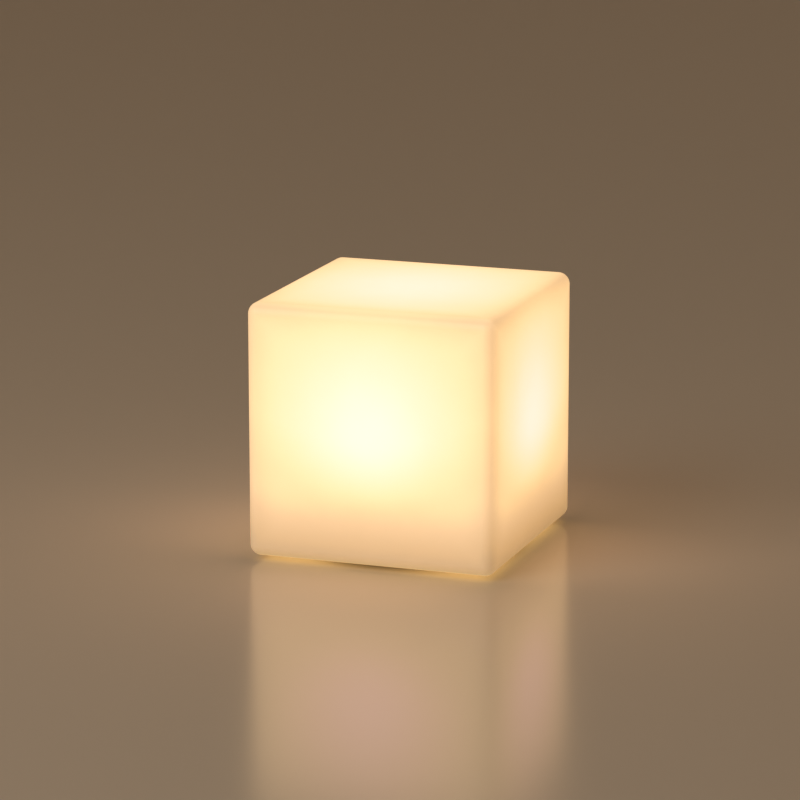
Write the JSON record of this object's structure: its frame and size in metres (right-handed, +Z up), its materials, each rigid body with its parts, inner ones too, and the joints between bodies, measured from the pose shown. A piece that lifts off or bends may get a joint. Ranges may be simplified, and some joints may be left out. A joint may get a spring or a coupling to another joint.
{
  "type": "floating cube light",
  "caption": "Hollow milky plastic cube that glows, twist-locked on a sealed round light module with cells, LEDs, power button and covered charging port underneath.",
  "frame": {"origin": "on the surface it stands on, under the centre of the cube", "axes": "+Z up; X and Y square to the cube's upright faces"},
  "size_m": [0.2, 0.2, 0.2035],
  "materials": {
    "milky_shell": "satin, translucent milky polyethylene with a fine moulded texture",
    "white_plastic": "satin moulded ABS",
    "grey_plastic": "satin moulded plastic",
    "grey_rubber": "matt rubber",
    "silicone": "translucent matt silicone",
    "frosted_cover": "frosted polycarbonate",
    "aluminium": "brushed sheet",
    "white_board": "white solder mask",
    "green_board": "green solder mask",
    "led_package": "white package with a yellow phosphor well",
    "steel": "stainless",
    "nickel": "nickel plated",
    "cell_wrap": "blue shrink wrap on a steel can",
    "black_plastic": "black moulded plastic",
    "foam": "closed-cell foam",
    "red_lead": "red insulation",
    "black_lead": "black insulation",
    "clear_pipe": "clear acrylic"
  },
  "bodies": {
    "light_module": {"module_housing": "white_plastic", "foot_ring": "grey_rubber", "diffuser_dome": "frosted_cover", "dome_gasket": "silicone", "dome_screw_1": "steel", "dome_screw_2": "steel", "dome_screw_3": "steel", "dome_screw_4": "steel", "led_tray": "aluminium", "led_board": "white_board", "led_1": "led_package", "led_2": "led_package", "led_3": "led_package", "led_4": "led_package", "led_5": "led_package", "led_6": "led_package", "led_7": "led_package", "led_8": "led_package", "led_9": "led_package", "tray_screw_1": "steel", "tray_screw_2": "steel", "tray_screw_3": "steel", "battery_cradle": "black_plastic", "cell_1": "cell_wrap", "cell_2": "cell_wrap", "cell_link_1": "nickel", "cell_link_2": "nickel", "cradle_screw_1": "steel", "cradle_screw_2": "steel", "foam_pad": "foam", "control_board": "green_board", "board_screw_1": "steel", "board_screw_2": "steel", "control_chip": "black_plastic", "charge_chip": "black_plastic", "power_inductor": "grey_plastic", "switch_body": "black_plastic", "charge_jack": "black_plastic", "jack_pin": "nickel", "cover_anchor": "grey_rubber", "status_light_pipe": "clear_pipe", "status_led": "led_package", "battery_lead_red": "red_lead", "battery_lead_black": "black_lead", "led_lead_red": "red_lead", "led_lead_black": "black_lead"},
    "neck_gasket": {"neck_gasket": "silicone"},
    "shell": {"outer_shell": "milky_shell", "neck_ring": "white_plastic", "clamp_ring": "white_plastic", "neck_screw_1": "steel", "neck_screw_2": "steel", "neck_screw_3": "steel", "neck_screw_4": "steel"},
    "power_button": {"power_button": "grey_plastic", "button_seal": "silicone", "switch_plunger": "white_plastic"},
    "port_cover": {"port_cover": "grey_rubber"}
  },
  "joints": [
    {"name": "shell_twist", "type": "hinge", "parent": "light_module", "child": "neck_gasket", "pos_m": [0, 0, 0.00535], "axis": [0, 0, 1], "range_deg": [0, 43]},
    {"name": "shell_lift", "type": "slide", "parent": "neck_gasket", "child": "shell", "axis": [0, 0, 1], "range_m": [0, 0.09]},
    {"name": "button_press", "type": "slide", "parent": "light_module", "child": "power_button", "axis": [0, 0, 1], "range_m": [0, 0.0006], "stiffness_N_per_m": 2000, "springref_m": -0.0005},
    {"name": "cover_swing", "type": "hinge", "parent": "light_module", "child": "port_cover", "pos_m": [0.012, 0.017, 0.0032], "axis": [0, -1, 0], "range_deg": [0, 110]}
  ]
}
